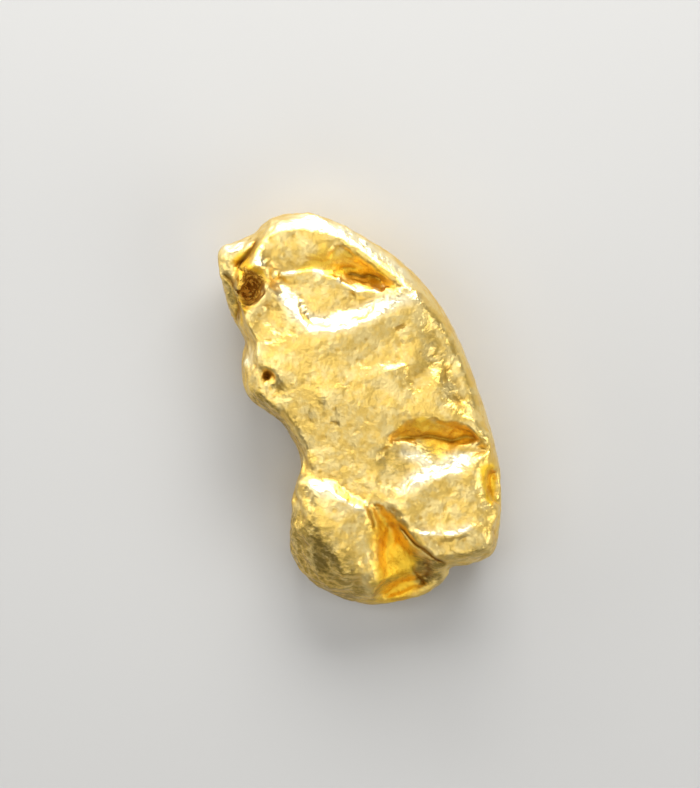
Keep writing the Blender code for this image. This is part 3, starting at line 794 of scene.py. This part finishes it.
def of_nearest(kind, value):
    """What the nearest mark holds, read for every point of the skin."""
    pick = marks.nodes.new("GeometryNodeSampleIndex")
    pick.data_type = kind
    give(pick.inputs["Geometry"], scattered)
    give(pick.inputs["Value"], value)
    give(pick.inputs["Index"], nearest.outputs["Index"])
    return pick.outputs["Value"]


mark_place = of_nearest("FLOAT_VECTOR", here)
mark_size = of_nearest("FLOAT", size_there.outputs["Attribute"])
print("nodes so far:", len(marks.nodes))

# %% a round bowl: deepest at its mark, and flat past its radius
gap = add_node(marks, "ShaderNodeVectorMath")
gap.operation = "DISTANCE"
give(gap.inputs[0], here)
give(gap.inputs[1], mark_place)
reach = worked(marks, "MULTIPLY", given["Radius"], mark_size)
ratio = worked(marks, "MINIMUM", worked(marks, "DIVIDE", gap.outputs["Value"], reach), 1.0)
slope = worked(marks, "SUBTRACT", 1.0, worked(marks, "MULTIPLY", ratio, ratio))
bowl = worked(marks, "MULTIPLY", worked(marks, "MULTIPLY", slope, slope), mark_size)
amount = worked(marks, "MULTIPLY", worked(marks, "MULTIPLY", bowl, given["Height"]),
                given["Where"])
print("nodes so far:", len(marks.nodes))

# %% the skin, moved, made real and given its metal
push = add_node(marks, "ShaderNodeVectorMath")
push.operation = "SCALE"
give(push.inputs[0], add_node(marks, "GeometryNodeInputNormal").outputs["Normal"])
give(push.inputs["Scale"], amount)
moved = add_node(marks, "GeometryNodeSetPosition", Geometry=given["Skin"],
                 Offset=push.outputs["Vector"])
real = add_node(marks, "GeometryNodeRealizeInstances", Geometry=moved.outputs["Geometry"])
painted = add_node(marks, "GeometryNodeSetMaterial", Geometry=real.outputs["Geometry"],
                   Material=given["Metal"])
give(marks.nodes.new("NodeGroupOutput").inputs["Skin"], painted.outputs["Geometry"])
print("nodes in the tree:", len(marks.nodes), "links:", len(marks.links))

# %% lay the marks on the skin
# The attribute that says where, then the tree's own inputs, with lengths in mm.
MARKS = {
    "pecks": ("open_skin", {"Per Square Millimetre": 7.0, "Radius": 0.17, "Height": -0.022,
                            "Seed": 5}),
    "beads": ("lip", {"Per Square Millimetre": 7.0, "Radius": 0.20, "Height": 0.16, "Seed": 3}),
    "crumbs": ("rust", {"Per Square Millimetre": 90.0, "Radius": 0.10, "Height": 0.07,
                        "Seed": 8}),
}
IDS = {item.name: item.identifier for item in marks.interface.items_tree
       if item.in_out == "INPUT"}
gold = bpy.data.materials.new("native gold")


def lay_marks(thing, name, mask, values):
    """Adds the tree to a thing; its inputs are set by identifier before it is evaluated."""
    layer = thing.modifiers.new(name, "NODES")
    layer.node_group = marks
    layer[IDS["Where"] + "_use_attribute"] = True
    layer[IDS["Where"] + "_attribute_name"] = mask
    layer[IDS["Metal"]] = gold
    for key, value in values.items():
        layer[IDS[key]] = value


lump = bpy.data.objects.new("gold_lump", lump_mesh)
bpy.context.scene.collection.objects.link(lump)
for name, (mask, values) in MARKS.items():
    lay_marks(lump, name, mask, values)
graph = bpy.context.evaluated_depsgraph_get()
worn_mesh = bpy.data.meshes.new_from_object(lump.evaluated_get(graph))
lump.modifiers.clear()
lump.data = worn_mesh
print("points after the marks:", len(worn_mesh.vertices))

# %% [markdown]
# Proud and sheltered
#
# The material paints shade into the hollows, so it has to know where they are. Comparing the skin
# with a much smoothed copy of itself tells: a point below the smooth copy is sheltered, a point
# above it is proud. A few rounds of smoothing find the small dents, and many rounds find the broad
# hollows.

# %% measure shelter at two sizes
FINE_PASSES = 12
BROAD_PASSES = 220


def shelter(mesh, passes):
    """How deep each point lies below the skin smoothed so many times, in mm."""
    points = read_points(mesh)
    calm = relaxed(points, read_edges(mesh), passes)
    return ((calm - points) * read_normals(mesh)).sum(axis=1)


for name, passes in (("fine_hollow", FINE_PASSES), ("broad_hollow", BROAD_PASSES)):
    hollow = shelter(worn_mesh, passes)
    keep_attribute(worn_mesh, name, hollow)
    print("shelter, mm:", np.round(np.percentile(hollow, [2, 50, 98]), 3))

# %% [markdown]
# The metal
#
# One material does the whole lump, because it is one metal. Its layers: rubbed gold, painted shade
# in hollows and folds and on the flanks, painted highlights, painted shade in the cracks, and
# rust.
# Every layer is a colour and a share, and the shares are noise or the numbers kept on the skin.
# Painting an image would fix the detail at one size, while noise stays sharp from any distance.

# %% helpers for the layers
gold.use_nodes = True
metal = gold.node_tree
surface = metal.nodes["Principled BSDF"]


def attribute(name):
    read = metal.nodes.new("ShaderNodeAttribute")
    read.attribute_name = name
    return read.outputs["Fac"]


def noise_at(place, scale, detail, roughness):
    """Noise with so many waves in a millimetre."""
    made = add_node(metal, "ShaderNodeTexNoise", Vector=place, Scale=scale, Detail=detail,
                    Roughness=roughness)
    return made.outputs["Fac"]


def ranged(value, low, high, to_low=0.0, to_high=1.0):
    """A value mapped softly from one range to another."""
    limits = add_node(metal, "ShaderNodeMapRange", Value=value, From_Min=low, From_Max=high,
                      To_Min=to_low, To_Max=to_high)
    limits.interpolation_type = "SMOOTHSTEP"
    return limits.outputs["Result"]


def mixed(share, low, high):
    """A mix of two colours, or of the outputs of other mixes, by a share."""
    mix = metal.nodes.new("ShaderNodeMix")
    mix.data_type = "RGBA"
    # A Mix node has several inputs called A and B; 6 and 7 are those of its colours.
    for socket, value in ((mix.inputs[6], low), (mix.inputs[7], high)):
        give(socket, (*value, 1.0) if isinstance(value, tuple) else value)
    give(mix.inputs[0], share)
    return mix.outputs[2]


where = add_node(metal, "ShaderNodeTexCoord").outputs["Object"]
in_mm = add_node(metal, "ShaderNodeMapping", Vector=where, Scale=(1 / MM,) * 3).outputs["Vector"]
print("nodes before the first layer:", len(metal.nodes))

# %% [markdown]
# Rubbed gold, and painted shade in its hollows
#
# The open skin is body gold with paler blotches where it was rubbed. Small dents get a painted
# shade of tan, and broad hollows a painted deeper gold, standing in for light that strikes the
# metal several times and takes on more of its colour. One flat colour would look like paint.

# %% body gold, pale blotches, and painted shade in dents and hollows
PALE_GOLD = (0.99, 0.755, 0.29)
BODY_GOLD = (0.95, 0.645, 0.155)
TAN_SHADE = (0.78, 0.50, 0.11)
DEEP_SHADE_GOLD = (1.0, 0.65, 0.055)
# Of each noise: waves in a millimetre, detail, roughness. Of each range: low and high.
BLOTCHES = (2.2, 4.0, 0.6)
BLOTCH_RANGE = (0.40, 0.62)
BROAD_RANGE = (0.05, 0.40)
FINE_RANGE = (0.001, 0.016)

rubbed = mixed(ranged(noise_at(in_mm, *BLOTCHES), *BLOTCH_RANGE), BODY_GOLD, PALE_GOLD)
# Painted shade: a deeper gold in the broad hollows, then tan in the small dents.
hollow_shaded = mixed(ranged(attribute("broad_hollow"), *BROAD_RANGE), rubbed, DEEP_SHADE_GOLD)
dent_shaded = mixed(ranged(attribute("fine_hollow"), *FINE_RANGE), hollow_shaded, TAN_SHADE)
print("nodes so far:", len(metal.nodes))

# %% [markdown]
# Painted shade in the folds
#
# The folds are painted a deep orange shade, with brown veins in it. The veins
# are a noise of their own, so that they don't follow the blotches of the open skin.

# %% painted shade: deep orange with brown veins
BROWN_VEIN = (0.82, 0.44, 0.025)
VEINS = (3.4, 6.0, 0.72)
VEIN_RANGE = (0.47, 0.60)

veined_shade = mixed(ranged(noise_at(in_mm, *VEINS), *VEIN_RANGE), DEEP_SHADE_GOLD, BROWN_VEIN)
# Painted shade: the veined deep orange laid on the folds.
fold_shaded = mixed(attribute("shade"), dent_shaded, veined_shade)
print("nodes so far:", len(metal.nodes))

# %% [markdown]
# Painted shade and painted highlights
#
# The painted shade on the flanks lies in small brown flecks, a little longer from west to east
# than they are wide. A Mapping node draws their noise out, and turns it, so that its own grid
# doesn't line up with the flecks. Even between the flecks some of the shade stays. The painted
# highlights on the bands that face north, the palest gold of all, lie over it.

# %% painted shade in flecks, and painted highlights
SHADE_BROWN = (0.42, 0.28, 0.06)
HIGHLIGHT_GOLD = (1.0, 0.88, 0.56)
FLECK_STRETCH = (0.35, 1.0, 1.0)
FLECK_TURN = (0.0, 0.0, math.radians(45))
FLECKS = (6.5, 5.0, 0.7)
FLECK_RANGE = (0.40, 0.58)
FLECK_SHARE = (0.32, 1.0)

drawn_out = add_node(metal, "ShaderNodeMapping", Vector=in_mm, Rotation=FLECK_TURN,
                     Scale=FLECK_STRETCH).outputs["Vector"]
flecks = ranged(noise_at(drawn_out, *FLECKS), *FLECK_RANGE, *FLECK_SHARE)
# Painted brown shade, in flecks, on the flanks and the shadowed floors.
flank_shaded = mixed(worked(metal, "MULTIPLY", flecks, attribute("flank_shade")), fold_shaded, SHADE_BROWN)
# Painted highlights in the palest gold over the bands that face north.
highlighted = mixed(attribute("highlight_and_polish"), flank_shaded, HIGHLIGHT_GOLD)
print("nodes so far:", len(metal.nodes))

# %% [markdown]
# Painted shade in the cracks, and rust
#
# Painted shade makes the cracks dark. The pit is filled with a crumbly crust of iron oxide, from
# dark brown to rusty yellow. The crust is a little less of a metal than the gold round it, and a
# change in Metallic says that better than a second material would, because its edge can be soft.

# %% painted shade in the cracks, and a rusty pit
CRACK_SHADE = (0.22, 0.09, 0.01)
DARK_RUST = (0.46, 0.21, 0.015)
YELLOW_RUST = (1.0, 0.72, 0.14)
CRUMBLE = (6.0, 4.0, 0.7)
CRUMBLE_RANGE = (0.46, 0.56)
CRUST_RANGE = (0.1, 0.8)
CRUST_METALLIC = (1.0, 0.8)

crust = mixed(ranged(noise_at(in_mm, *CRUMBLE), *CRUMBLE_RANGE), DARK_RUST, YELLOW_RUST)
# Painted shade darkens the cracks.
crack_shaded = mixed(attribute("crack_shade"), highlighted, CRACK_SHADE)
give(surface.inputs["Base Color"], mixed(attribute("rust"), crack_shaded, crust))
give(surface.inputs["Metallic"], ranged(attribute("rust"), *CRUST_RANGE, *CRUST_METALLIC))
print("nodes so far:", len(metal.nodes))

# %% [markdown]
# Satin and matt
#
# A nugget has a satin skin. The lips with painted highlights are also a little smoother, and what
# the stones never reached is rougher: the folds, and most of all the crust in the pit. Three soft
# changes are added up to one roughness.

# %% satin skin, smooth lips, matt folds and crust
SATIN_TO_BURNISHED = (0.37, 0.30)
CRUST_ROUGHER = (0.0, 0.3)
FOLD_RANGE = (0.2, 1.0)
FOLD_ROUGHER = (0.0, 0.16)

satin = ranged(attribute("highlight_and_polish"), 0.0, 1.0, *SATIN_TO_BURNISHED)
crust_matt = ranged(attribute("rust"), *CRUST_RANGE, *CRUST_ROUGHER)
fold_matt = ranged(attribute("shade"), *FOLD_RANGE, *FOLD_ROUGHER)
matt = worked(metal, "ADD", worked(metal, "ADD", satin, crust_matt), fold_matt)
give(surface.inputs["Roughness"], matt)
print("nodes so far:", len(metal.nodes))

# %% [markdown]
# Grain
#
# The finest grain of the skin is as small as its triangles, so it can't be geometry as well. A
# bump is enough for it: it only tilts the light.

# %% the finest grain
GRAIN = (7.0, 3.0, 0.6)
GRAIN_DEPTH = 0.03 * MM

bump = add_node(metal, "ShaderNodeBump", Strength=1.0, Distance=GRAIN_DEPTH,
                Height=noise_at(in_mm, *GRAIN))
give(surface.inputs["Normal"], bump.outputs["Normal"])
print("nodes in the gold:", len(metal.nodes))

# %% [markdown]
# Handing over
#
# The finished lump is brought back to metres and takes the CAD node's place on the same body. Its
# object stays at the origin, unturned, because its place is in its mesh.

# %% place, ride and finish
worn_mesh.transform(Matrix.Scale(MM, 4))
worn_mesh.shade_smooth()
print("triangles:", sum(len(p.vertices) - 2 for p in worn_mesh.polygons))
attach(lump, "root")
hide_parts("nugget")
